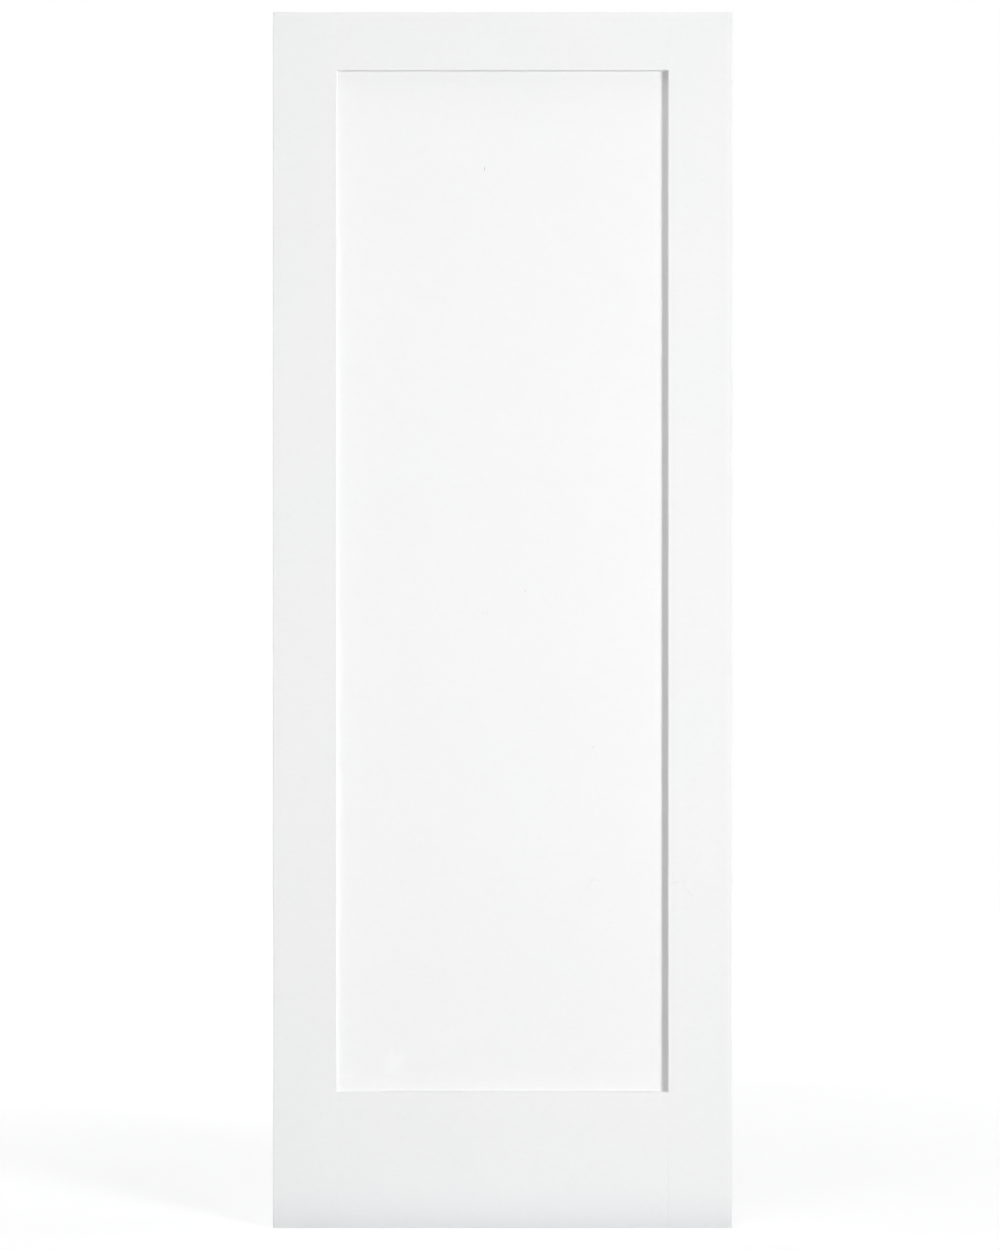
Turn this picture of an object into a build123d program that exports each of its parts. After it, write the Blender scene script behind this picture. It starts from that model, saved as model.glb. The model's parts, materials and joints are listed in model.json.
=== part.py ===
from build123d import *

import os
from math import sqrt

# A flat-panel interior door slab, unhung and undrilled.
# X runs across the door from its hinge edge, Z runs up from its foot,
# and Y runs through its thickness, with the front face towards -Y.
# All sizes are in millimetres.

# The slab
door_width = 770.0
door_height = 2040.0
door_thickness = 35.0

# Widths of the frame members, as seen from the front
stile_width = 107.0
top_rail_width = 97.0
bottom_rail_width = 228.0

# Layers of a member: a core between an edge band and a groove band, under two face skins
skin_thickness = 3.0
edge_band_width = 15.0
groove_band_width = 22.0

# The panel, and the groove that holds it
panel_thickness = 12.0
panel_face_play = 0.15
panel_growth_gap = 1.5
panel_edge_chamfer = 1.0
groove_depth = 12.0

# The stub tongue on each end of a rail, which fills the stile's groove
tongue_face_play = 0.05
tongue_end_gap = 0.5

# Fluted dowels between the rails and the stiles. The backing is the wood left behind a hole
# in the stile's core, and the margin is from a rail's outermost dowels to the ends of its core.
top_rail_dowels = 2
bottom_rail_dowels = 3
dowel_diameter = 16.0
dowel_glue_gap = 0.1
dowel_end_gap = 2.5
dowel_end_chamfer = 1.5
dowel_backing = 26.0
dowel_margin = 13.0
flute_count = 10
flute_depth = 0.6

# Eased corners: the long outer ones, the rim of the recess, and the sanded seams
outer_arris = 1.2
recess_arris = 0.5
seam_arris = 0.15

# Sizes that follow from the ones above
core_thickness = door_thickness - 2 * skin_thickness
groove_width = panel_thickness + 2 * panel_face_play
tongue_thickness = groove_width - 2 * tongue_face_play
tongue_length = groove_depth - tongue_end_gap
rail_length = door_width - 2 * stile_width
rail_blank_length = rail_length + 2 * tongue_length
recess_height = door_height - top_rail_width - bottom_rail_width
panel_width = rail_length + 2 * (groove_depth - panel_growth_gap)
panel_height = recess_height + 2 * groove_depth - panel_growth_gap
dowel_hole_radius = dowel_diameter / 2 + dowel_glue_gap
dowel_hole_depth = stile_width - edge_band_width - dowel_backing
dowel_length = 2 * (dowel_hole_depth - dowel_end_gap)
flute_side = flute_depth * sqrt(2)

# A member's section plane has x from its outer edge to the panel, and z along the member.
# The stiles stand on the foot of the door, and the rails start at the left stile.
stile_planes = {
    "left": Plane((0, 0, 0), x_dir=(1, 0, 0), z_dir=(0, 0, 1)),
    "right": Plane((door_width, 0, 0), x_dir=(-1, 0, 0), z_dir=(0, 0, 1)),
}
rail_planes = {
    "top": Plane((stile_width, 0, door_height), x_dir=(0, 0, -1), z_dir=(1, 0, 0)),
    "bottom": Plane((stile_width, 0, 0), x_dir=(0, 0, 1), z_dir=(1, 0, 0)),
}
rail_widths = {"top": top_rail_width, "bottom": bottom_rail_width}
shoulders = {"left": stile_width, "right": door_width - stile_width}
face_directions = {"front": -1, "back": 1}
from_outer_edge = (Align.MIN, Align.CENTER)


def dowel_distances(rail_width, count):
    """Distances of a rail's dowels from its outer edge, spread evenly over its core."""
    first = edge_band_width + dowel_margin
    last = rail_width - groove_band_width - dowel_margin
    pitch = (last - first) / (count - 1)
    return [first + pitch * number for number in range(count)]


top_distances = dowel_distances(top_rail_width, top_rail_dowels)
bottom_distances = dowel_distances(bottom_rail_width, bottom_rail_dowels)
dowel_heights = {
    "top": [door_height - distance for distance in top_distances],
    "bottom": bottom_distances,
}


def strip_section(plane, start, end):
    """A strip as thick as the core, between two distances from the member's outer edge."""
    with BuildSketch(plane) as section:
        with Locations((start, 0)):
            Rectangle(end - start, core_thickness, align=from_outer_edge)
    return section.sketch


def groove_section(plane, member_width):
    """The panel's groove, in the member's inner edge."""
    with BuildSketch(plane) as section:
        with Locations((member_width - groove_depth, 0)):
            Rectangle(groove_depth, groove_width, align=from_outer_edge)
    return section.sketch


def cheek_section(plane, rail_width):
    """The waste on both cheeks of a rail's tongue."""
    with BuildSketch(plane) as section:
        Rectangle(rail_width, core_thickness, align=from_outer_edge)
        Rectangle(rail_width, tongue_thickness, align=from_outer_edge, mode=Mode.SUBTRACT)
    return section.sketch


def skin_section(plane, member_width, outward):
    """A face skin as wide as the member. Outward is 1 on the section's +y face."""
    with BuildSketch(plane) as section:
        with Locations((0, outward * (core_thickness + skin_thickness) / 2)):
            Rectangle(member_width, skin_thickness, align=from_outer_edge)
    return section.sketch


def inner_corner_section(plane, member_width, outward, size):
    """The waste of a small bevel on the corner of a skin that faces the panel or a rail."""
    surface = outward * door_thickness / 2
    with BuildSketch(plane) as section:
        with BuildLine():
            Polyline(
                (member_width - size, surface),
                (member_width, surface - outward * size),
                (member_width + size, surface + outward * size),
                close=True,
            )
        make_face()
    return section.sketch


def dowel_hole_section(shoulder, heights):
    """The dowel holes of a joint, on the plane where the rail's shoulder meets the stile."""
    with BuildSketch(Plane.YZ.offset(shoulder)) as section:
        with Locations(*[(0, height) for height in heights]):
            Circle(dowel_hole_radius)
    return section.sketch


def save(piece, name):
    """Labels a finished piece and writes its file."""
    piece.part.label = name
    export_step(piece.part, f"parts/{name}.step")


def make_stile(side):
    """One full-height stile, as its five layers."""
    plane = stile_planes[side]
    groove_band_start = stile_width - groove_band_width
    dowel_holes = dowel_hole_section(shoulders[side], sum(dowel_heights.values(), []))

    with BuildPart() as edge_band:
        extrude(strip_section(plane, 0, edge_band_width), amount=door_height)
    save(edge_band, f"{side}_stile_edge_band")

    with BuildPart() as core:
        extrude(strip_section(plane, edge_band_width, groove_band_start), amount=door_height)
        extrude(dowel_holes, amount=dowel_hole_depth, both=True, mode=Mode.SUBTRACT)
    save(core, f"{side}_stile_core")

    with BuildPart() as groove_band:
        extrude(strip_section(plane, groove_band_start, stile_width), amount=door_height)
        extrude(groove_section(plane, stile_width), amount=door_height, mode=Mode.SUBTRACT)
        extrude(dowel_holes, amount=dowel_hole_depth, both=True, mode=Mode.SUBTRACT)
    save(groove_band, f"{side}_stile_groove_band")

    # The inner corner is sanded flush beside the rails and eased along the recess.
    stretches = [
        (0, bottom_rail_width, seam_arris),
        (bottom_rail_width, recess_height, recess_arris),
        (door_height - top_rail_width, top_rail_width, seam_arris),
    ]
    for face, direction in face_directions.items():
        outward = direction * plane.y_dir.Y
        outer_corner = plane.from_local_coords((0, outward * door_thickness / 2))
        with BuildPart() as skin:
            extrude(skin_section(plane, stile_width, outward), amount=door_height)
            long_edges = skin.edges().filter_by(Axis.Z)
            fillet(long_edges.sort_by_distance(outer_corner)[0], outer_arris)
            for start, length, size in stretches:
                waste = inner_corner_section(plane.offset(start), stile_width, outward, size)
                extrude(waste, amount=length, mode=Mode.SUBTRACT)
        save(skin, f"{side}_stile_{face}_skin")


def make_rail(place):
    """The top or the bottom rail, as its five layers."""
    plane = rail_planes[place]
    width = rail_widths[place]
    groove_band_start = width - groove_band_width
    blank_plane = plane.offset(-tongue_length)
    cheeks = [cheek_section(blank_plane, width), cheek_section(plane.offset(rail_length), width)]

    with BuildPart() as edge_band:
        extrude(strip_section(blank_plane, 0, edge_band_width), amount=rail_blank_length)
        for cheek in cheeks:
            extrude(cheek, amount=tongue_length, mode=Mode.SUBTRACT)
    save(edge_band, f"{place}_rail_edge_band")

    with BuildPart() as core:
        extrude(
            strip_section(blank_plane, edge_band_width, groove_band_start),
            amount=rail_blank_length,
        )
        for cheek in cheeks:
            extrude(cheek, amount=tongue_length, mode=Mode.SUBTRACT)
        for shoulder in shoulders.values():
            dowel_holes = dowel_hole_section(shoulder, dowel_heights[place])
            extrude(dowel_holes, amount=dowel_hole_depth, both=True, mode=Mode.SUBTRACT)
    save(core, f"{place}_rail_core")

    with BuildPart() as groove_band:
        extrude(strip_section(blank_plane, groove_band_start, width), amount=rail_blank_length)
        for cheek in cheeks:
            extrude(cheek, amount=tongue_length, mode=Mode.SUBTRACT)
        extrude(
            groove_section(blank_plane, width), amount=rail_blank_length, mode=Mode.SUBTRACT
        )
    save(groove_band, f"{place}_rail_groove_band")

    for face, direction in face_directions.items():
        outward = direction * plane.y_dir.Y
        with BuildPart() as skin:
            extrude(skin_section(plane, width, outward), amount=rail_length)
            surface = skin.faces().sort_by(Axis.Y, reverse=direction < 0)[-1]
            chamfer(surface.edges().filter_by(Axis.Z), seam_arris)
            waste = inner_corner_section(plane, width, outward, recess_arris)
            extrude(waste, amount=rail_length, mode=Mode.SUBTRACT)
        save(skin, f"{place}_rail_{face}_skin")


def make_dowel(name, shoulder, height):
    """A fluted dowel, half in the stile and half in the rail."""
    section_plane = Plane((shoulder, 0, height), x_dir=(0, 1, 0), z_dir=(1, 0, 0))
    with BuildPart() as dowel:
        with BuildSketch(section_plane):
            Circle(dowel_diameter / 2)
        extrude(amount=dowel_length / 2, both=True)
        chamfer(dowel.faces().filter_by(Axis.X).edges(), dowel_end_chamfer)
        with BuildSketch(section_plane):
            with PolarLocations(dowel_diameter / 2, flute_count):
                Rectangle(flute_side, flute_side, rotation=45)
        extrude(amount=dowel_length / 2, both=True, mode=Mode.SUBTRACT)
    save(dowel, name)


os.makedirs("parts", exist_ok=True)

for side in stile_planes:
    make_stile(side)

for place in rail_planes:
    make_rail(place)

# The panel stands on the floor of the bottom rail's groove,
# and has room to grow in the other three grooves.
with BuildPart() as panel:
    with BuildSketch(Plane.XZ):
        with Locations((door_width / 2, bottom_rail_width - groove_depth)):
            Rectangle(panel_width, panel_height, align=(Align.CENTER, Align.MIN))
    extrude(amount=panel_thickness / 2, both=True)
    chamfer(panel.faces().filter_by(Axis.Y).edges(), panel_edge_chamfer)
save(panel, "panel")

for place, heights in dowel_heights.items():
    for side, shoulder in shoulders.items():
        for number, height in enumerate(heights, start=1):
            make_dowel(f"{place}_{side}_dowel_{number}", shoulder, height)
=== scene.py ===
"""The looks of a shaker interior door slab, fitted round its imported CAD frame.

X runs across the door from its hinge edge, Y through it from the front face to the back face,
and Z up from its foot. Lengths are in metres, unless a name ends in mm or px.
"""

import json
import logging
import math
import random
from dataclasses import dataclass
from enum import Enum
from functools import cached_property, reduce
from typing import ClassVar

import bmesh
import bpy
from mathutils import Matrix, Vector

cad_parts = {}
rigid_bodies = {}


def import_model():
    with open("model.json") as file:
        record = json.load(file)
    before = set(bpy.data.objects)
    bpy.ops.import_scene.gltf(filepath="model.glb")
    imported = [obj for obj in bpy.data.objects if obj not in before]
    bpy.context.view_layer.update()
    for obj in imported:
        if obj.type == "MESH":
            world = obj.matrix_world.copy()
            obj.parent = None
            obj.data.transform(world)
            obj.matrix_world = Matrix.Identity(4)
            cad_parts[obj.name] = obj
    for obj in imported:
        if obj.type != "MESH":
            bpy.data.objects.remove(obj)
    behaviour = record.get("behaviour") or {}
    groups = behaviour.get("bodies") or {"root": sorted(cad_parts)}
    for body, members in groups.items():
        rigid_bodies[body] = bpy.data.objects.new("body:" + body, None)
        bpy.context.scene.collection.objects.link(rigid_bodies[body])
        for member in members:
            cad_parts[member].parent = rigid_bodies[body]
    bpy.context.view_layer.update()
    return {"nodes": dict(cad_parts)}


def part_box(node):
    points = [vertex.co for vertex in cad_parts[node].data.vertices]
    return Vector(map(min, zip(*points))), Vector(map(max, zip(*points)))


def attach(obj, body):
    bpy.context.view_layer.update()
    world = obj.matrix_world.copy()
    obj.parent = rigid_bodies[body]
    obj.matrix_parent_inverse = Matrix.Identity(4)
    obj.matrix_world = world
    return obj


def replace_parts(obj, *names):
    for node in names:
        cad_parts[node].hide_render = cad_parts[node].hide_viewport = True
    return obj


log = logging.getLogger("door")

MM = 0.001
BODY = "root"
BOARD_ATTRIBUTE = "board"
NODE_PREFIX = "ShaderNode"
SEED = 2

Object = bpy.types.Object
Material = bpy.types.Material
Socket = bpy.types.NodeSocket
Mesh = bmesh.types.BMesh
Pair = tuple[float, float]
Triple = tuple[float, float, float]
Colour = tuple[float, float, float]
Value = Socket | float | tuple[float, ...]


class Side(Enum):
    """The two stiles. The value is the sign of the outward direction along X."""

    LEFT = -1
    RIGHT = 1

    @property
    def stile(self) -> str:
        """How the names of the stile's nodes start."""
        return f"{self.name.lower()}_stile"


class Face(Enum):
    """The door's two broad faces. The value is the sign of the outward direction along Y."""

    FRONT = -1
    BACK = 1


class Place(Enum):
    """The two rails."""

    TOP = "top"
    BOTTOM = "bottom"


class Layer(Enum):
    """The layers of a stile or rail, by the ends of their node names."""

    EDGE_BAND = "edge_band"
    CORE = "core"
    GROOVE_BAND = "groove_band"
    FRONT_SKIN = "front_skin"
    BACK_SKIN = "back_skin"


class Slot(Enum):
    """The names of three of the record's material slots."""

    BAND = "primed_band"
    PANEL = "primed_panel"
    CORE = "block_core"


class Blend(Enum):
    """What a Mix node mixes. The name is the node's setting, and the value its sockets' type."""

    RGBA = "RGBA"
    FLOAT = "VALUE"


class Grain(Enum):
    """The direction in which a piece of wood grows, as its place in a vector."""

    ACROSS = 0
    UP = 2

    def drawn_out(self, size: float, length: float) -> Triple:
        """The size of a feature that is longer along the grain than across it."""
        return tuple(length if axis == self.value else size for axis in range(3))


@dataclass(frozen=True)
class DoorSizes:
    """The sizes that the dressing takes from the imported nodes."""

    width: float
    height: float
    half_thickness: float
    stile_width: float
    top_rail_foot: float
    bottom_rail_head: float
    panel_half_thickness: float

    @classmethod
    def measured(cls) -> "DoorSizes":
        """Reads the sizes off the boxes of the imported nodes.

        Returns:
            The sizes.
        """
        skin_low, skin_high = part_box("left_stile_front_skin")
        right_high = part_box("right_stile_front_skin")[1]
        return cls(
            width=right_high.x,
            height=skin_high.z,
            half_thickness=-skin_low.y,
            stile_width=skin_high.x,
            top_rail_foot=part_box("top_rail_front_skin")[0].z,
            bottom_rail_head=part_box("bottom_rail_front_skin")[1].z,
            panel_half_thickness=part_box("panel")[1].y,
        )


@dataclass(frozen=True)
class Pattern:
    """A soft noise: how large its features are along X, Y and Z, how many finer octaves it has,
    and an offset that tells it from others."""

    size: Triple
    detail: float = 2.0
    offset: Triple = (0.0, 0.0, 0.0)

    @classmethod
    def even(cls, size: float, detail: float = 2.0, offset: Triple = (0.0, 0.0, 0.0)) -> "Pattern":
        """A noise whose features are as long one way as another."""
        return cls((size, size, size), detail, offset)


class NodeWeb:
    """The nodes of a material or world, with short calls for those that are used here."""

    def __init__(self, owner: Material | bpy.types.World) -> None:
        """Starts with no nodes.

        Args:
            owner: The material or world.
        """
        owner.use_nodes = True
        self.owner = owner
        self.tree = owner.node_tree
        self.tree.nodes.clear()

    @classmethod
    def of_new(cls, name: str) -> "NodeWeb":
        """The nodes of a new material."""
        return cls(bpy.data.materials.new(name))

    @cached_property
    def place(self) -> Socket:
        """The object's own coordinates."""
        return self.add("TexCoord").outputs["Object"]

    @cached_property
    def axes(self) -> list[Socket]:
        """The object's own X, Y and Z, apart."""
        return self.add("SeparateXYZ", {"Vector": self.place}).outputs[:]

    def add(self, kind: str, fed: dict[str | int, Value] | None = None, **settings: str) -> bpy.types.Node:
        """Adds a node.

        Args:
            kind: The node's type, without its prefix.
            fed: What its inputs get, by their names or their places in the row.
            settings: Properties to set on it.

        Returns:
            The node.
        """
        node = self.tree.nodes.new(NODE_PREFIX + kind)
        for name, value in settings.items():
            setattr(node, name, value)
        for name, value in (fed or {}).items():
            self.feed(node.inputs[name], value)
        return node

    def feed(self, socket: Socket, value: Value) -> None:
        """Links or sets an input.

        Args:
            socket: The input.
            value: What it gets, either another node's output or a constant.
        """
        if isinstance(value, Socket):
            self.tree.links.new(value, socket)
        elif socket.type == Blend.RGBA.value:
            socket.default_value = (*value, 1.0)
        else:
            socket.default_value = value

    def math(self, operation: str, *values: Value) -> Socket:
        """One step of arithmetic."""
        return self.add("Math", dict(enumerate(values)), operation=operation).outputs[0]

    def chained(self, operation: str, values: list[Value]) -> Socket:
        """The same step of arithmetic from each number to the next."""
        return reduce(lambda first, second: self.math(operation, first, second), values)

    def joined(self, x: Value, y: Value, z: Value) -> Socket:
        """A vector from its three parts."""
        return self.add("CombineXYZ", {"X": x, "Y": y, "Z": z}).outputs[0]

    def scaled(self, vector: Value, factor: Value) -> Socket:
        """A vector or colour times a number."""
        fed = {0: vector, "Scale": factor}
        return self.add("VectorMath", fed, operation="SCALE").outputs[0]

    def length(self, vector: Value) -> Socket:
        """The length of a vector."""
        return self.add("VectorMath", {0: vector}, operation="LENGTH").outputs["Value"]

    def mapped(
        self,
        vector: Value,
        place: Triple = (0.0, 0.0, 0.0),
        turn: Triple = (0.0, 0.0, 0.0),
        size: Triple = (1.0, 1.0, 1.0),
    ) -> Socket:
        """Coordinates as seen from a box with a place, a turn in radians, and a size."""
        fed = {"Vector": vector, "Location": place, "Rotation": turn, "Scale": size}
        return self.add("Mapping", fed, vector_type="TEXTURE").outputs[0]

    def noise(self, pattern: Pattern) -> Socket:
        """Soft noise from 0 to 1.

        Args:
            pattern: Its sizes.

        Returns:
            The noise.
        """
        place = self.mapped(self.place, pattern.offset, size=pattern.size)
        fed = {"Vector": place, "Scale": 1.0, "Detail": pattern.detail}
        return self.add("TexNoise", fed).outputs["Fac"]

    def fade(self, value: Value, start: float, end: float, low: float = 0.0, high: float = 1.0) -> Socket:
        """A smooth step from low to high, as a value goes from start to end."""
        fed = {"Value": value, "From Min": start, "From Max": end, "To Min": low, "To Max": high}
        return self.add("MapRange", fed, interpolation_type="SMOOTHSTEP").outputs[0]

    def spread(self, value: Value, share: float) -> Socket:
        """A tone that goes up to a share above and below 1, from a noise about one half."""
        return self.math("MULTIPLY_ADD", value, 2.0 * share, 1.0 - share)

    def mixed(self, factor: Value, first: Value, second: Value, blend: Blend = Blend.RGBA) -> Socket:
        """One colour or number, or another.

        Args:
            factor: How much of the second there is.
            first: The first.
            second: The second.
            blend: Whether they are colours or numbers.

        Returns:
            The mixture.
        """
        node = self.add("Mix", {"Factor": factor}, data_type=blend.name)
        ends = [socket for socket in node.inputs if socket.type == blend.value and socket.name in "AB"]
        for socket, value in zip(ends, (first, second)):
            self.feed(socket, value)
        return next(socket for socket in node.outputs if socket.type == blend.value)

    def seen(self) -> Socket:
        """What is seen by the camera, straight or by way of gloss or glass, and not lit by.

        Returns:
            A factor that is 1 for such rays and 0 for others.
        """
        path = self.add("LightPath").outputs
        rays = ("Is Camera Ray", "Is Glossy Ray", "Is Transmission Ray")
        return self.chained("MAXIMUM", [path[name] for name in rays])

    def end(self, kind: str, surface: Socket) -> Material | bpy.types.World:
        """Ends the nodes with an output of some type, and gives back the material or world."""
        self.add(kind, {"Surface": surface})
        return self.owner


@dataclass(frozen=True)
class Coat:
    """One layer of a finish, as the sockets that carry it. The relief is in metres."""

    colour: Socket
    roughness: Socket
    relief: Socket

    def over(self, web: NodeWeb, under: "Coat", factor: Socket) -> "Coat":
        """This coat over another, where a factor says that it covers the one below."""
        return Coat(
            colour=web.mixed(factor, under.colour, self.colour),
            roughness=web.mixed(factor, under.roughness, self.roughness, Blend.FLOAT),
            relief=web.mixed(factor, under.relief, self.relief, Blend.FLOAT),
        )

    def finish(self, web: NodeWeb) -> Material:
        """Ends a material with this coat.

        Args:
            web: The material's nodes.

        Returns:
            The material.
        """
        bump = web.add("Bump", {"Strength": 1.0, "Distance": 1.0, "Height": self.relief})
        fed = {"Base Color": self.colour, "Roughness": self.roughness, "Normal": bump.outputs[0]}
        shader = web.add("BsdfPrincipled", fed)
        return web.end("OutputMaterial", shader.outputs[0])


@dataclass(frozen=True)
class Mark:
    """A soft oval mark on the front face, in millimetres from the hinge edge and the foot.

    Its tone is how much lighter it makes the paint, its rise how far it stands out, and its core
    the share of it that has the full tone.
    """

    x_mm: float
    z_mm: float
    half_length_mm: float
    half_width_mm: float
    tone: float
    turn_deg: float = 0.0
    rise_mm: float = 0.0
    core: float = 0.35

    @classmethod
    def stroke(
        cls,
        start_mm: Pair,
        end_mm: Pair,
        width_mm: float,
        tone: float,
        rise_mm: float = 0.0,
    ) -> "Mark":
        """A thin mark from one point to another.

        Args:
            start_mm: The first point.
            end_mm: The last point.
            width_mm: The mark's width.
            tone: How much lighter the paint is there.
            rise_mm: How far the mark stands out.

        Returns:
            The mark.
        """
        across = end_mm[0] - start_mm[0]
        up = end_mm[1] - start_mm[1]
        return cls(
            x_mm=(start_mm[0] + end_mm[0]) / 2,
            z_mm=(start_mm[1] + end_mm[1]) / 2,
            half_length_mm=math.hypot(across, up) / 2,
            half_width_mm=width_mm / 2,
            tone=tone,
            turn_deg=math.degrees(math.atan2(up, across)),
            rise_mm=rise_mm,
        )

    def mask(self, web: NodeWeb, flat: Socket) -> Socket:
        """Where the mark is.

        Args:
            web: The material's nodes.
            flat: The object's coordinates with Y left out.

        Returns:
            A factor that is 1 in the mark's middle and 0 outside it.
        """
        inside = web.mapped(
            flat,
            place=(self.x_mm * MM, 0.0, self.z_mm * MM),
            turn=(0.0, -math.radians(self.turn_deg), 0.0),
            size=(self.half_length_mm * MM, 1.0, self.half_width_mm * MM),
        )
        return web.fade(web.length(inside), self.core, 1.0, 1.0, 0.0)


@dataclass(frozen=True)
class PrimerCoat:
    """Factory primer, sprayed on and lightly sanded: an off-white that drifts a little, with a
    fine stipple, the tracks of the sander, and painted shade, darker and cooler towards the foot."""

    colour: Colour
    cool: Colour
    cool_reach: Pair = (0.3, 1.3)
    drift: Pattern = Pattern((130 * MM, 130 * MM, 260 * MM), 1.0, (3.1, 1.7, 5.3))
    roughness: float = 0.70
    roughness_drift: float = 0.08
    cloud: float = 0.006
    clouds: Pattern = Pattern.even(260 * MM, 3.0)
    mottle: float = 0.014
    lying_mottle: Pattern = Pattern((13 * MM, 2.4 * MM, 2.4 * MM), 1.0)
    standing_mottle: Pattern = Pattern((2.4 * MM, 2.4 * MM, 13 * MM), 1.0, (1.3, 0.4, 2.2))
    stipple: Pattern = Pattern.even(1.7 * MM, 2.0, (0.7, 0.2, 0.5))
    stipple_rise: float = 0.016 * MM
    swell: Pattern = Pattern.even(22 * MM, 1.0, (0.1, 0.6, 0.3))
    swell_rise: float = 0.035 * MM
    # Painted shade: the primer is darker and cooler within a few centimetres of the foot.
    foot_painted_shade: float = 0.145
    foot_painted_shade_height: float = 27 * MM
    foot_painted_shade_cool: float = 1.6

    def lay(self, web: NodeWeb, marks: tuple[Mark, ...] = (), ridges: Socket | None = None) -> Coat:
        """Makes the coat's nodes.

        Args:
            web: The material's nodes.
            marks: The marks on the front face.
            ridges: The height of what shows through from below, in metres.

        Returns:
            The coat.
        """
        x, y, z = web.axes
        drift = web.noise(self.drift)
        # Painted shade at the foot, fading out upwards.
        foot = web.math("EXPONENT", web.math("MULTIPLY", z, -1.0 / self.foot_painted_shade_height))
        tones = [
            web.spread(web.noise(self.clouds), self.cloud),
            web.spread(web.noise(self.lying_mottle), self.mottle),
            web.spread(web.noise(self.standing_mottle), self.mottle),
            web.math("MULTIPLY_ADD", foot, -self.foot_painted_shade, 1.0),
        ]
        reliefs = [
            web.math("MULTIPLY", web.noise(self.stipple), self.stipple_rise),
            web.math("MULTIPLY", web.noise(self.swell), self.swell_rise),
        ]
        if ridges is not None:
            reliefs.append(ridges)
        if marks:
            flat = web.joined(x, 0.0, z)
            front = web.math("LESS_THAN", y, 0.0)
            masks = [web.math("MULTIPLY", front, mark.mask(web, flat)) for mark in marks]
            lighter = [web.math("MULTIPLY", mask, mark.tone) for mask, mark in zip(masks, marks)]
            tones.append(web.math("ADD", web.chained("ADD", lighter), 1.0))
            raised = [(mask, mark) for mask, mark in zip(masks, marks) if mark.rise_mm]
            reliefs += [web.math("MULTIPLY", mask, mark.rise_mm * MM) for mask, mark in raised]
        # The painted shade at the foot also cools the tint.
        coolness = web.math("MULTIPLY_ADD", foot, self.foot_painted_shade_cool, drift)
        tint = web.mixed(web.fade(coolness, *self.cool_reach), self.colour, self.cool)
        return Coat(
            colour=web.scaled(tint, web.chained("MULTIPLY", tones)),
            roughness=web.math("MULTIPLY_ADD", drift, self.roughness_drift, self.roughness),
            relief=web.chained("ADD", reliefs),
        )


@dataclass(frozen=True)
class Softwood:
    """Bare pine: growth rings round a pith, which make long lines along the grain, and fine
    fibres. Each board of a piece, by its attribute, has its own pith and tone."""

    grain: Grain
    half_extent: float
    early: Colour = (0.63, 0.44, 0.245)
    late: Colour = (0.42, 0.245, 0.11)
    ring_spacing: float = 2.4 * MM
    ring_waver: float = 3.4
    waver_size: float = 34 * MM
    waver_length: float = 230 * MM
    waver_offset: Triple = (0.2, 0.9, 0.4)
    pith_depth: float = 22 * MM
    pith_reach: float = 46 * MM
    pith_step: float = 31 * MM
    board_turn: float = 2.3
    board_start: float = 0.8
    board_tone: float = 0.1
    fibre_size: float = 0.35 * MM
    fibre_length: float = 9 * MM
    fibre_offset: Triple = (0.5, 0.1, 0.8)
    fibre_tone: float = 0.12
    fibre_rise: float = 0.04 * MM
    late_sharpness: float = 2.6
    late_rise: float = 0.03 * MM
    roughness: float = 0.72
    roughness_drift: float = 0.1

    def rings(self, web: NodeWeb, board: Socket, shift: Socket) -> Socket:
        """The growth rings.

        Args:
            web: The material's nodes.
            board: The board's number.
            shift: How far the board's pith is to the side, from -1 to 1.

        Returns:
            A number that rises from 0 to 1 through each ring.
        """
        x, y, z = web.axes
        across = z if self.grain is Grain.ACROSS else x
        from_middle = web.math("ABSOLUTE", web.math("SUBTRACT", across, self.half_extent))
        from_pith = web.math("SUBTRACT", from_middle, self.half_extent + self.pith_depth)
        pith_across = web.math("MULTIPLY_ADD", shift, self.pith_step, from_pith)
        pith_through = web.math("MULTIPLY_ADD", web.math("COSINE", board), self.pith_reach, y)
        distance = web.length(web.joined(pith_across, pith_through, 0.0))
        size = self.grain.drawn_out(self.waver_size, self.waver_length)
        waver = web.noise(Pattern(size, offset=self.waver_offset))
        count = web.math("DIVIDE", distance, self.ring_spacing)
        return web.math("FRACT", web.math("MULTIPLY_ADD", waver, self.ring_waver, count))

    def lay(self, web: NodeWeb) -> Coat:
        """Makes the coat's nodes.

        Args:
            web: The material's nodes.

        Returns:
            The coat.
        """
        board = web.add("Attribute", attribute_name=BOARD_ATTRIBUTE).outputs["Fac"]
        shift = web.math("SINE", web.math("MULTIPLY_ADD", board, self.board_turn, self.board_start))
        late = web.math("POWER", self.rings(web, board, shift), self.late_sharpness)
        size = self.grain.drawn_out(self.fibre_size, self.fibre_length)
        fibres = web.noise(Pattern(size, offset=self.fibre_offset))
        board_tone = web.math("MULTIPLY_ADD", shift, self.board_tone, 1.0)
        tone = web.math("MULTIPLY", web.spread(fibres, self.fibre_tone), board_tone)
        reliefs = [
            web.math("MULTIPLY", fibres, self.fibre_rise),
            web.math("MULTIPLY", late, self.late_rise),
        ]
        return Coat(
            colour=web.scaled(web.mixed(late, self.early, self.late), tone),
            roughness=web.math("MULTIPLY_ADD", fibres, self.roughness_drift, self.roughness),
            relief=web.chained("ADD", reliefs),
        )


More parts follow.
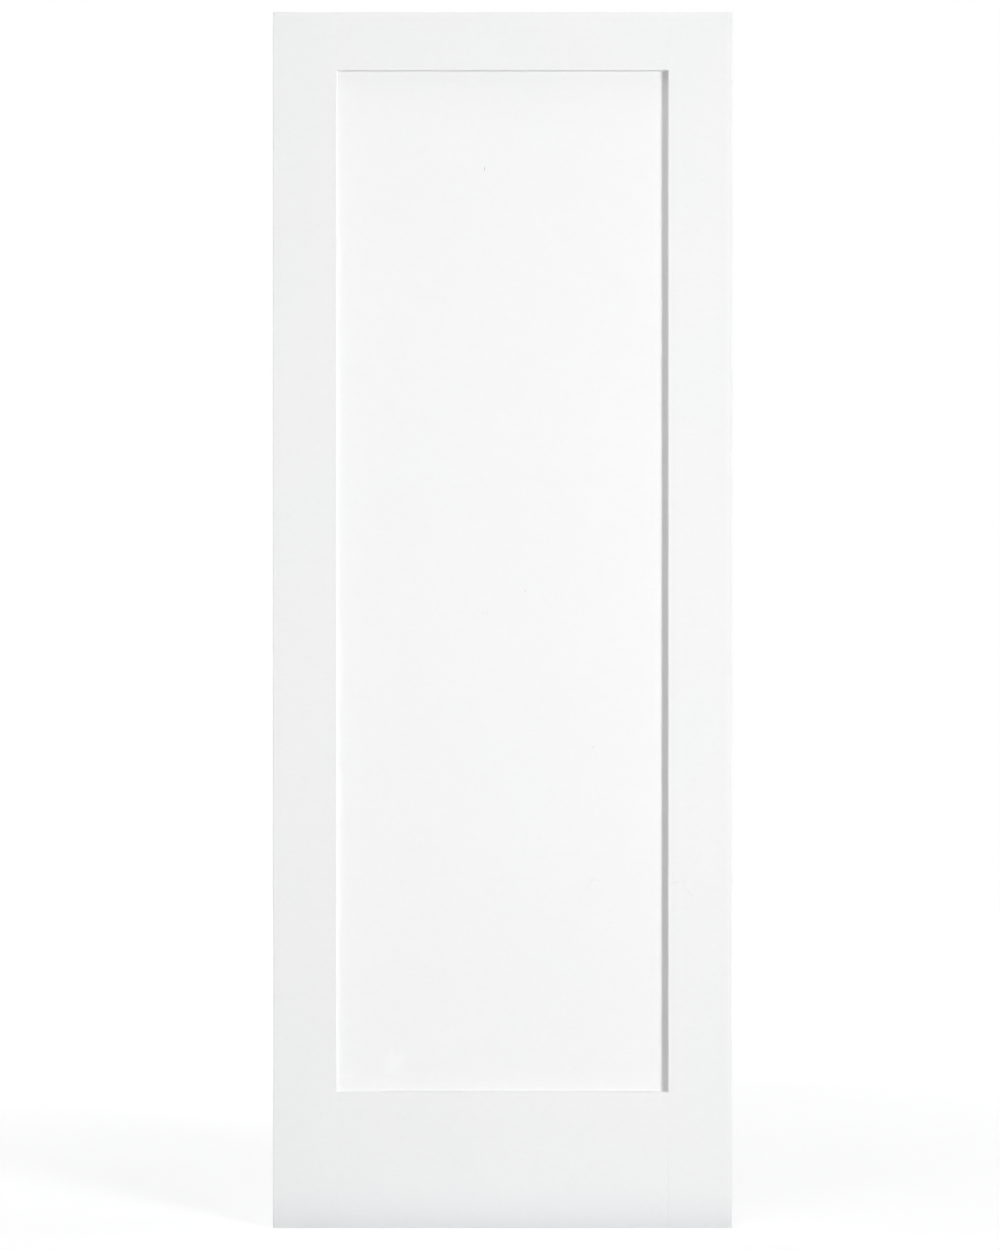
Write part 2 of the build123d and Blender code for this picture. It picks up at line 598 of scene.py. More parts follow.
@dataclass(frozen=True)
class Fibreboard:
    """The bare edge of a fibreboard skin: brown, felted and dull."""

    colour: Colour = (0.40, 0.275, 0.165)
    dark: Colour = (0.27, 0.175, 0.10)
    dark_reach: Pair = (0.35, 0.65)
    felt: Pattern = Pattern((1.0 * MM, 0.5 * MM, 1.0 * MM), 3.0)
    felt_rise: float = 0.05 * MM
    clouds: Pattern = Pattern.even(12 * MM, 2.0, (0.3, 0.3, 0.9))
    cloud: float = 0.12
    roughness: float = 0.88
    roughness_drift: float = 0.08

    def lay(self, web: NodeWeb) -> Coat:
        """Makes the coat's nodes.

        Args:
            web: The material's nodes.

        Returns:
            The coat.
        """
        felt = web.noise(self.felt)
        fibres = web.mixed(web.fade(felt, *self.dark_reach), self.dark, self.colour)
        return Coat(
            colour=web.scaled(fibres, web.spread(web.noise(self.clouds), self.cloud)),
            roughness=web.math("MULTIPLY_ADD", felt, self.roughness_drift, self.roughness),
            relief=web.math("MULTIPLY", felt, self.felt_rise),
        )


@dataclass(frozen=True)
class Grit:
    """Grit and bristles that are caught in the primer: grey, and paler where primer covers them."""

    bare: Colour = (0.20, 0.195, 0.185)
    covered: Colour = (0.46, 0.46, 0.45)
    cover: Pattern = Pattern.even(0.8 * MM)
    cover_reach: Pair = (0.4, 0.7)
    grain: Pattern = Pattern.even(0.3 * MM, 2.0, (0.4, 0.2, 0.6))
    grain_rise: float = 0.02 * MM
    roughness: float = 0.5
    roughness_drift: float = 0.2

    def lay(self, web: NodeWeb) -> Coat:
        """Makes the coat's nodes.

        Args:
            web: The material's nodes.

        Returns:
            The coat.
        """
        cover = web.fade(web.noise(self.cover), *self.cover_reach)
        grain = web.noise(self.grain)
        return Coat(
            colour=web.mixed(cover, self.bare, self.covered),
            roughness=web.math("MULTIPLY_ADD", grain, self.roughness_drift, self.roughness),
            relief=web.math("MULTIPLY", grain, self.grain_rise),
        )


@dataclass(frozen=True)
class Telegraph:
    """Wood grain that still shows through the primer of a band, as faint ridges."""

    ridge_size: float = 1.3 * MM
    ridge_length: float = 160 * MM
    ridge_detail: float = 3.0
    rise: float = 0.035 * MM

    def relief(self, web: NodeWeb, grain: Grain) -> Socket:
        """The height of the ridges, in metres."""
        size = grain.drawn_out(self.ridge_size, self.ridge_length)
        return web.math("MULTIPLY", web.noise(Pattern(size, self.ridge_detail)), self.rise)


@dataclass(frozen=True)
class SawnEnds:
    """Where primer ends: the sawn head and foot of the slab are bare, apart from a mist of
    overspray along the rims."""

    height: float
    half_thickness: float
    skin: float = 0.04 * MM
    mist_reach: float = 9 * MM
    mist_at_rim: float = 0.62
    mist_edge: Pair = (0.85, 1.25)
    specks: Pattern = Pattern.even(1.1 * MM, 3.0, (0.9, 0.2, 0.1))
    clouds: Pattern = Pattern.even(33 * MM, 1.0, (0.4, 0.6, 0.1))
    cloud_share: float = 0.5

    def covered(self, web: NodeWeb) -> Socket:
        """How much primer there is.

        Args:
            web: The material's nodes.

        Returns:
            A factor that is 1 on the faces and long edges.
        """
        y, z = web.axes[1:]
        from_end = web.math("MINIMUM", z, web.math("SUBTRACT", self.height, z))
        primed = web.math("GREATER_THAN", from_end, self.skin)
        from_face = web.math("SUBTRACT", self.half_thickness, web.math("ABSOLUTE", y))
        near = web.fade(from_face, 0.0, self.mist_reach, self.mist_at_rim, 0.0)
        clouds = web.math("MULTIPLY", web.noise(self.clouds), self.cloud_share)
        mist = web.chained("ADD", [near, web.noise(self.specks), clouds])
        return web.math("MAXIMUM", primed, web.fade(mist, *self.mist_edge))


FRAME_PRIMER = PrimerCoat(colour=(0.838, 0.839, 0.836), cool=(0.820, 0.830, 0.838))
BAND_PRIMER = PrimerCoat(
    colour=(0.826, 0.828, 0.820),
    cool=(0.812, 0.821, 0.825),
    roughness=0.73,
    mottle=0.017,
)
PANEL_PRIMER = PrimerCoat(
    colour=(0.866, 0.865, 0.864),
    cool=(0.855, 0.862, 0.868),
    mottle=0.011,
    foot_painted_shade=0.0,
    foot_painted_shade_cool=0.0,
)

# The rails' walls of the recess are paler than the faces: painted light that lifts the shaded
# underside of the top rail and the ledge of the bottom rail.
RECESS_PAINTED_LIGHT_PRIMER = PrimerCoat(colour=(0.892, 0.891, 0.888), cool=(0.884, 0.888, 0.890), mottle=0.011)

# What the photograph shows on the frame: a hair and its crumbs under the primer, a dot and a nick,
# smears, the joints of the strips below as faint lines, and the joints of rails and stiles.
FRAME_MARKS = (
    Mark.stroke((665.0, 577.7), (683.6, 582.1), 1.2, -0.15, -0.02),
    Mark(667.9, 578.4, 1.0, 1.0, tone=-0.08),
    Mark.stroke((688.3, 589.5), (688.6, 571.5), 1.0, -0.11, -0.02),
    Mark.stroke((688.0, 575.5), (712.2, 545.6), 0.9, -0.11, -0.02),
    Mark.stroke((667.3, 595.9), (673.8, 583.8), 0.8, -0.07),
    Mark.stroke((703.8, 555.6), (710.5, 563.6), 0.8, -0.05),
    Mark(43.0, 74.0, 1.3, 1.1, tone=-0.12, rise_mm=0.03),
    Mark(769.2, 1923.8, 1.6, 2.0, tone=-0.20, rise_mm=-0.06),
    Mark.stroke((46.5, 737.0), (26.0, 716.0), 9.0, 0.008),
    Mark.stroke((28.0, 719.0), (3.0, 657.0), 13.0, 0.009),
    Mark(90.8, 1415.0, 7.0, 4.0, tone=-0.010, turn_deg=35.0),
    Mark(193.0, 1991.0, 9.0, 4.0, tone=-0.012, turn_deg=20.0),
    Mark.stroke((664.0, 780.5), (768.0, 779.5), 1.3, -0.028, 0.012),
    Mark.stroke((664.0, 769.5), (768.0, 770.5), 1.3, -0.022, 0.012),
    Mark.stroke((2.0, 995.5), (106.0, 995.0), 1.3, -0.022, 0.012),
    Mark(663.0, 60.0, 0.16, 175.0, tone=-0.32),
    Mark(663.0, 1990.0, 0.16, 60.0, tone=-0.16),
    Mark(107.0, 40.0, 0.16, 110.0, tone=-0.12),
    Mark(107.0, 1990.0, 0.16, 60.0, tone=-0.14),
)

# What it shows on the panel: a double smear, a curl of lint, two rubbed patches and a faint dot.
PANEL_MARKS = (
    Mark(351.2, 1032.3, 3.0, 5.4, tone=-0.032),
    Mark(358.8, 1031.0, 2.4, 7.8, tone=-0.034),
    Mark(536.9, 583.4, 5.2, 3.4, tone=-0.040, turn_deg=20.0),
    Mark.stroke((534.5, 581.8), (529.3, 573.0), 3.4, -0.036),
    Mark.stroke((530.0, 577.5), (532.6, 561.0), 2.8, -0.032),
    Mark.stroke((539.0, 585.5), (553.0, 578.0), 2.8, -0.032),
    Mark(200.5, 275.5, 30.0, 29.0, tone=0.026, core=0.1),
    Mark(212.0, 283.0, 30.0, 14.0, tone=0.010, turn_deg=12.0, core=0.1),
    Mark(198.0, 297.0, 8.0, 14.0, tone=0.010, core=0.1),
    Mark(127.5, 253.0, 17.0, 13.0, tone=0.017, core=0.1),
    Mark(176.0, 245.0, 30.0, 13.0, tone=0.011, core=0.1),
    Mark(342.5, 1544.0, 3.5, 2.5, tone=-0.012),
)


@dataclass(frozen=True)
class Finishes:
    """Every material of the door."""

    skin: Material
    edge_band: Material
    rail_band: Material
    groove_band: Material
    rail_groove_band: Material
    panel: Material
    bead: Material
    speck: Material
    core_up: Material
    core_across: Material
    dowel: Material

    @classmethod
    def mixed(cls, sizes: DoorSizes) -> "Finishes":
        """Mixes the materials.

        Args:
            sizes: The door's sizes.

        Returns:
            The materials.
        """
        ends = SawnEnds(sizes.height, sizes.half_thickness)
        upright = Softwood(Grain.UP, sizes.width / 2)
        level = Softwood(Grain.ACROSS, sizes.height / 2)
        beech = Softwood(
            Grain.ACROSS,
            sizes.height / 2,
            early=(0.66, 0.47, 0.28),
            late=(0.55, 0.37, 0.21),
            ring_spacing=1.1 * MM,
        )
        return cls(
            skin=cls.primed("primed_fibreboard", FRAME_PRIMER, Fibreboard(), ends, FRAME_MARKS),
            edge_band=cls.primed("primed_edge_band", BAND_PRIMER, upright, ends),
            rail_band=cls.primed("primed_rail_band", BAND_PRIMER, level, ends),
            groove_band=cls.primed("primed_groove_band", FRAME_PRIMER, upright, ends),
            # The rails' recess walls get the paler primer, which is painted light.
            rail_groove_band=cls.primed("primed_rail_groove_band", RECESS_PAINTED_LIGHT_PRIMER, level, ends),
            panel=cls.plain("primed_panel_face", PANEL_PRIMER, PANEL_MARKS),
            bead=cls.plain("primer_bead", PANEL_PRIMER),
            speck=cls.bare("grit_in_primer", Grit()),
            core_up=cls.bare("bare_core", upright),
            core_across=cls.bare("bare_rail_core", level),
            dowel=cls.bare("bare_dowel", beech),
        )

    @staticmethod
    def primed(
        name: str,
        primer: PrimerCoat,
        bare: Softwood | Fibreboard,
        ends: SawnEnds,
        marks: tuple[Mark, ...] = (),
    ) -> Material:
        """Primer over what is bare at the sawn ends.

        Args:
            name: The material's name.
            primer: The primer.
            bare: What is under it.
            ends: Where the primer ends.
            marks: The marks on the front face.

        Returns:
            The material.
        """
        web = NodeWeb.of_new(name)
        ridges = Telegraph().relief(web, bare.grain) if isinstance(bare, Softwood) else None
        coat = primer.lay(web, marks, ridges)
        return coat.over(web, bare.lay(web), ends.covered(web)).finish(web)

    @staticmethod
    def plain(name: str, primer: PrimerCoat, marks: tuple[Mark, ...] = ()) -> Material:
        """Primer that covers all there is, with marks on the front face."""
        web = NodeWeb.of_new(name)
        return primer.lay(web, marks).finish(web)

    @staticmethod
    def bare(name: str, finish: Softwood | Grit) -> Material:
        """Wood or grit with nothing on it."""
        web = NodeWeb.of_new(name)
        return finish.lay(web).finish(web)


def placed(name: str, mesh: Mesh) -> Object:
    """Puts a mesh in the scene, where its points are.

    Args:
        name: The object's name.
        mesh: The mesh. It is freed.

    Returns:
        The object.
    """
    data = bpy.data.meshes.new(name)
    mesh.to_mesh(data)
    mesh.free()
    made = bpy.data.objects.new(name, data)
    bpy.context.scene.collection.objects.link(made)
    return made


def piece(name: str, mesh: Mesh, material: Material) -> Object:
    """Turns a finished mesh into a piece that rides on the door.

    Args:
        name: The piece's name.
        mesh: Its mesh, in its place. It is freed.
        material: Its finish.

    Returns:
        The piece.
    """
    bmesh.ops.recalc_face_normals(mesh, faces=mesh.faces)
    made = placed(name, mesh)
    made.data.materials.append(material)
    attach(made, BODY)
    log.info("%s: %d faces", name, len(made.data.polygons))
    return made


def ease(mesh: Mesh, edges: list[bmesh.types.BMEdge], width: float, segments: int) -> None:
    """Bevels edges.

    Args:
        mesh: The mesh.
        edges: The edges.
        width: The bevel's width.
        segments: How many steps it has.
    """
    bmesh.ops.bevel(
        mesh,
        geom=edges,
        offset=width,
        offset_type="OFFSET",
        segments=segments,
        profile=0.5,
        affect="EDGES",
        material=-1,
    )


@dataclass(frozen=True)
class CadNodes:
    """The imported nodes, which keep their shape and place and only get better finishes."""

    objects: dict[str, Object]

    def dress(self, node: str, material: Material) -> None:
        """Gives a node its finish."""
        for material_slot in self.objects[node].material_slots:
            material_slot.material = material

    def named(self, words: str) -> list[str]:
        """The names of the nodes that have some words in them, in order."""
        return sorted(name for name in self.objects if words in name)


@dataclass
class StilePiece:
    """A piece that stands for one layer of a stile."""

    layer: ClassVar[Layer]

    side: Side
    material: Material

    @property
    def node(self) -> str:
        """The CAD node that the piece stands for."""
        return f"{self.side.stile}_{self.layer.value}"


@dataclass
class EdgeBand(StilePiece):
    """The softwood band on a stile's long edge, finger-jointed from several lengths. The joints
    show through the primer as fine zigzag grooves."""

    layer: ClassVar[Layer] = Layer.EDGE_BAND

    joint_heights: tuple[float, ...]
    finger_count: int = 7
    finger_length: float = 10 * MM
    tip_width: float = 0.7 * MM
    groove: float = 0.14 * MM
    groove_segments: int = 1

    def zigzag(self, height: float, front: float, back: float) -> list[Pair]:
        """The line of a finger joint across the band.

        Args:
            height: Where the joint starts.
            front: Y of the band's front.
            back: Y of its back.

        Returns:
            Its points, as Y and Z.
        """
        pitch = (back - front) / self.finger_count
        flat = self.tip_width / 2
        points = [(front, height)]
        for number in range(self.finger_count):
            root = front + pitch * number
            tip = root + pitch / 2
            points += [(root + flat, height), (tip - flat, height + self.finger_length)]
            points += [(tip + flat, height + self.finger_length), (root + pitch - flat, height)]
        return points + [(back, height)]

    def length_of_band(
        self,
        mesh: Mesh,
        lower: list[Pair],
        upper: list[Pair],
        outer: float,
        depth: float,
    ) -> None:
        """Adds one length of the band, with eased corners along its finger joints.

        Args:
            mesh: The band's mesh.
            lower: The line of its lower end.
            upper: The line of its upper end.
            outer: X of its outer face.
            depth: How far it reaches inwards, with its sign.
        """
        outline = [mesh.verts.new((outer, y, z)) for y, z in lower + upper[::-1]]
        face = mesh.faces.new(outline)
        ends = [set(outline[: len(lower)]), set(outline[len(lower) :])]
        joints = [end for end, line in zip(ends, (lower, upper)) if self.is_joint(line)]
        rims = [edge for joint in joints for edge in face.edges if joint.issuperset(edge.verts)]
        grown = bmesh.ops.extrude_face_region(mesh, geom=[face], use_keep_orig=True)["geom"]
        corners = [item for item in grown if isinstance(item, bmesh.types.BMVert)]
        bmesh.ops.translate(mesh, verts=corners, vec=(depth, 0.0, 0.0))
        ease(mesh, rims, self.groove, self.groove_segments)

    @staticmethod
    def is_joint(line: list[Pair]) -> bool:
        """Whether an end of a length is a finger joint, and not the straight end of the band."""
        return len({height for _, height in line}) > 1

    def build(self) -> None:
        """Builds the band in place of its CAD node."""
        low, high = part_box(self.node)
        outer, inner = (low.x, high.x) if self.side is Side.LEFT else (high.x, low.x)
        lines = [[(low.y, low.z), (high.y, low.z)]]
        lines += [self.zigzag(height, low.y, high.y) for height in self.joint_heights]
        lines += [[(low.y, high.z), (high.y, high.z)]]
        mesh = bmesh.new()
        for lower, upper in zip(lines, lines[1:]):
            self.length_of_band(mesh, lower, upper, outer, inner - outer)
        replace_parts(piece(f"{self.node}_jointed", mesh, self.material), self.node)


@dataclass
class CoreStaves(StilePiece):
    """The strips of a stile's block core, whose ends show at the head and foot of the slab."""

    layer: ClassVar[Layer] = Layer.CORE

    seed: int
    stave_count: int = 3
    gap: float = 0.3 * MM
    arris: float = 0.4 * MM
    arris_segments: int = 2
    end_play: float = 0.35 * MM
    hole_sides: int = 32
    hole_overrun: float = 2.5 * MM

    def stave(self, mesh: Mesh, low: Vector, high: Vector, board: float) -> None:
        """Adds one stave, eased round its front and its back.

        Args:
            mesh: The staves' mesh.
            low: The stave's lowest corner.
            high: Its highest corner.
            board: Its number in the wood's attribute.
        """
        before = set(mesh.faces)
        box = Matrix.Translation((low + high) / 2) @ Matrix.Diagonal((*(high - low), 1.0))
        corners = set(bmesh.ops.create_cube(mesh, size=1.0, matrix=box)["verts"])
        own = [edge for edge in mesh.edges if corners.issuperset(edge.verts)]
        rims = [edge for edge in own if abs(edge.verts[0].co.y - edge.verts[1].co.y) < self.gap]
        ease(mesh, rims, self.arris, self.arris_segments)
        numbers = mesh.faces.layers.float[BOARD_ATTRIBUTE]
        for face in set(mesh.faces) - before:
            face[numbers] = board

    def build(self, dowels: list[str]) -> None:
        """Builds the staves in place of their CAD node.

        Args:
            dowels: The nodes of the dowels that reach into this core.
        """
        low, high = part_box(self.node)
        chance = random.Random(self.seed)
        pitch = (high.x - low.x) / self.stave_count
        mesh = bmesh.new()
        mesh.faces.layers.float.new(BOARD_ATTRIBUTE)
        for number in range(self.stave_count):
            left_gap = self.gap / 2 if number else 0.0
            right_gap = self.gap / 2 if number < self.stave_count - 1 else 0.0
            start = low.x + pitch * number + left_gap
            end = low.x + pitch * (number + 1) - right_gap
            foot = low.z + chance.uniform(0.0, self.end_play)
            head = high.z - chance.uniform(0.0, self.end_play)
            corners = (Vector((start, low.y, foot)), Vector((end, high.y, head)))
            self.stave(mesh, *corners, board=float(number + self.seed))
        made = piece(f"{self.node}_staves", mesh, self.material)
        self.bore(made, dowels)
        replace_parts(made, self.node)

    def bore(self, staves: Object, dowels: list[str]) -> None:
        """Bores the dowel holes.

        Args:
            staves: The staves.
            dowels: The nodes of the dowels.
        """
        cutter = bmesh.new()
        for dowel in dowels:
            low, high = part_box(dowel)
            radius = (high.z - low.z) / 2 + self.gap
            bmesh.ops.create_cone(
                cutter,
                cap_ends=True,
                segments=self.hole_sides,
                radius1=radius,
                radius2=radius,
                depth=high.x - low.x + 2 * self.hole_overrun,
                matrix=Matrix.Translation((low + high) / 2) @ Matrix.Rotation(math.pi / 2, 4, "Y"),
            )
        tool = placed("bores", cutter)
        cut = staves.modifiers.new("bores", "BOOLEAN")
        cut.operation = "DIFFERENCE"
        cut.solver = "EXACT"
        cut.object = tool
        bpy.context.view_layer.update()
        bored = staves.evaluated_get(bpy.context.evaluated_depsgraph_get())
        staves.data = bpy.data.meshes.new_from_object(bored)
        staves.modifiers.clear()
        bpy.data.objects.remove(tool)


@dataclass
class RecessBead:
    """The fillet of primer in the corner between the panel and the walls of the recess. It is a
    little fuller in some places than in others."""

    face: Face
    material: Material
    sizes: DoorSizes
    seed: int
    radius: float = 1.1 * MM
    bite: float = 0.05 * MM
    weld: float = 0.005 * MM
    arc_steps: int = 5
    long: float = 100 * MM
    long_cuts: int = 40
    swing: float = 0.08
    swings_across: float = 31.0
    swings_up: float = 23.0
    seed_phase: float = 1.7

    def profile(self) -> list[Pair]:
        """The bead's section, from the corner.

        Returns:
            Its points, each as a distance along the panel and one along the wall.
        """
        points = [(-self.bite, -self.bite), (self.radius, -self.bite)]
        for step in range(self.arc_steps + 1):
            angle = math.pi / 2 * step / self.arc_steps
            points.append((self.radius * (1 - math.sin(angle)), self.radius * (1 - math.cos(angle))))
        return points + [(-self.bite, self.radius)]

    def settle(self, vertex: bmesh.types.BMVert, point: Pair) -> None:
        """Puts a vertex where a point of the section meets the nearest mitre.

        Args:
            vertex: The vertex, somewhere near its corner of the recess.
            point: The point of the section.
        """
        along, up = point
        sizes = self.sizes
        is_left = vertex.co.x < sizes.width / 2
        is_low = vertex.co.z < sizes.height / 2
        vertex.co.x = sizes.stile_width + along if is_left else sizes.width - sizes.stile_width - along
        vertex.co.z = sizes.bottom_rail_head + along if is_low else sizes.top_rail_foot - along
        vertex.co.y = self.face.value * (sizes.panel_half_thickness + up)

    def vary(self, mesh: Mesh) -> None:
        """Makes the bead a little fuller and thinner along its length.

        Args:
            mesh: The bead's mesh.
        """
        surface = self.sizes.panel_half_thickness
        phase = self.seed * self.seed_phase
        for vertex in mesh.verts:
            rise = abs(vertex.co.y) - surface
            if rise <= 0.0:
                continue
            across = math.sin(vertex.co.x * self.swings_across + phase)
            up = math.sin(vertex.co.z * self.swings_up + phase)
            vertex.co.y = self.face.value * (surface + rise * (1.0 + self.swing * (across + up)))

    def build(self) -> None:
        """Builds the bead, as a rectangle that is extruded round its section."""
        mesh = bmesh.new()
        width, height = self.sizes.width, self.sizes.height
        corners = [(0.0, 0.0), (width, 0.0), (width, height), (0.0, height)]
        ring = [mesh.verts.new((x, 0.0, z)) for x, z in corners]
        edges = [mesh.edges.new((ring[number - 1], ring[number])) for number in range(len(ring))]
        section = self.profile()
        for vertex in ring:
            self.settle(vertex, section[0])
        for point in section[1:] + section[:1]:
            grown = bmesh.ops.extrude_edge_only(mesh, edges=edges)["geom"]
            edges = [item for item in grown if isinstance(item, bmesh.types.BMEdge)]
            for vertex in {vertex for edge in edges for vertex in edge.verts}:
                self.settle(vertex, point)
        bmesh.ops.remove_doubles(mesh, verts=mesh.verts, dist=self.weld)
        long_edges = [edge for edge in mesh.edges if edge.calc_length() > self.long]
        bmesh.ops.subdivide_edges(mesh, edges=long_edges, cuts=self.long_cuts)
        self.vary(mesh)
        for face in mesh.faces:
            face.smooth = True
        piece(f"{self.face.name.lower()}_recess_bead", mesh, self.material)


@dataclass
class PanelGrit:
    """What is caught in the panel's primer: one bristle that stands upright, and three nibs."""

    material: Material
    sizes: DoorSizes
    bristle_place: Pair = (354.4 * MM, 1780.2 * MM)
    bristle_length: float = 8.4 * MM
    bristle_radius: float = 0.36 * MM
    bristle_tip: float = 0.45
    bristle_bow: float = 0.35 * MM
    bristle_sides: int = 10
    bristle_cuts: int = 8
    nib_places: tuple[Pair, ...] = (
        (139.6 * MM, 1217.6 * MM),
        (423.6 * MM, 1069.3 * MM),
        (536.9 * MM, 806.6 * MM),
    )
    nib_radius: tuple[float, ...] = (0.45 * MM, 0.55 * MM, 0.65 * MM)
    nib_shape: Triple = (1.0, 0.6, 1.15)
    nib_subdivisions: int = 2

    def bristle(self, mesh: Mesh, surface: float) -> None:
        """Adds the bristle, which is thinner at its head and bows to one side.

        Args:
            mesh: The grit's mesh, still empty.
            surface: Y of the panel's front.
        """
        x, z = self.bristle_place
        bmesh.ops.create_cone(
            mesh,
            cap_ends=True,
            segments=self.bristle_sides,
            radius1=self.bristle_radius,
            radius2=self.bristle_radius * self.bristle_tip,
            depth=self.bristle_length,
            matrix=Matrix.Translation((x, surface, z)),
        )
        long_edges = [edge for edge in mesh.edges if edge.calc_length() > self.bristle_length / 2]
        bmesh.ops.subdivide_edges(mesh, edges=long_edges, cuts=self.bristle_cuts)
        for vertex in mesh.verts:
            share = (vertex.co.z - z) / self.bristle_length
            vertex.co.x += self.bristle_bow * math.cos(math.pi * share) * (1 + share)

    def build(self) -> None:
        """Builds the bristle and the nibs on the front of the panel."""
        surface = -self.sizes.panel_half_thickness
        mesh = bmesh.new()
        self.bristle(mesh, surface)
        for (x, z), radius in zip(self.nib_places, self.nib_radius):
            bmesh.ops.create_icosphere(
                mesh,
                subdivisions=self.nib_subdivisions,
                radius=radius,
                matrix=Matrix.Translation((x, surface, z)) @ Matrix.Diagonal((*self.nib_shape, 1.0)),
            )
        for face in mesh.faces:
            face.smooth = True
        piece("panel_grit", mesh, self.material)


@dataclass
class DoorSlab:
    """The whole door: its CAD nodes, dressed, and the pieces that add to them."""

    cad: CadNodes
    sizes: DoorSizes
    finishes: Finishes
    left_joints: tuple[float, ...] = (0.472, 0.990, 1.538)
    right_joints: tuple[float, ...] = (0.318, 0.770, 1.296, 1.807)

    def dress_member(self, name: str, band: Material, core: Material, groove_band: Material) -> None:
        """Dresses the five layers of a stile or rail.

        Args:
            name: How the names of its nodes start.
            band: The finish of its edge band.
            core: The finish of its core.
            groove_band: The finish of its groove band.
        """
        skin = self.finishes.skin
        for layer, material in zip(Layer, (band, core, groove_band, skin, skin)):
            self.cad.dress(f"{name}_{layer.value}", material)
        log.info("%s is dressed", name)

    def stile(self, side: Side) -> None:
        """Dresses one stile and builds its jointed band and its staves.

        Args:
            side: Which stile it is.
        """
        finishes = self.finishes
        self.dress_member(side.stile, finishes.edge_band, finishes.core_up, finishes.groove_band)
        joints = self.left_joints if side is Side.LEFT else self.right_joints
        EdgeBand(side, finishes.edge_band, joints).build()
        dowels = self.cad.named(f"_{side.name.lower()}_dowel_")
        CoreStaves(side, finishes.core_up, SEED + side.value).build(dowels)

    def rail(self, place: Place) -> None:
        """Dresses one rail."""
        coats = (self.finishes.rail_band, self.finishes.core_across, self.finishes.rail_groove_band)
        self.dress_member(f"{place.value}_rail", *coats)

    def panel(self) -> None:
        """Dresses the panel and adds its beads and grit."""
        self.cad.dress("panel", self.finishes.panel)
        for face in Face:
            RecessBead(face, self.finishes.bead, self.sizes, SEED + face.value).build()
        PanelGrit(self.finishes.speck, self.sizes).build()
        log.info("panel is dressed")

    def dowels(self) -> None:
        """Dresses the dowels, which are hidden in the corner joints."""
        for node in self.cad.named("_dowel_"):
            self.cad.dress(node, self.finishes.dowel)
        log.info("dowels are dressed")

    def build(self) -> None:
        """Builds and dresses every part of the door."""
        for side in Side:
            self.stile(side)
        for place in Place:
            self.rail(place)
        self.panel()
        self.dowels()


@dataclass(frozen=True)
class Softbox:
    """A rectangular lamp that faces a point. Its power is in watts."""

    name: str
    place: Triple
    target: Triple
    width: float
    height: float
    power: float
    spread_deg: float = 180.0

    def hang(self) -> None:
        """Hangs the lamp in the studio."""
        lamp = bpy.data.lights.new(self.name, "AREA")
        lamp.shape = "RECTANGLE"
        lamp.size = self.width
        lamp.size_y = self.height
        lamp.energy = self.power
        lamp.spread = math.radians(self.spread_deg)
        hung = bpy.data.objects.new(self.name, lamp)
        hung.location = self.place
        aim = Vector(self.target) - Vector(self.place)
        hung.rotation_euler = aim.to_track_quat("-Z", "Y").to_euler()
        hung.visible_camera = False
        bpy.context.scene.collection.objects.link(hung)
        log.info("%s is hung", self.name)


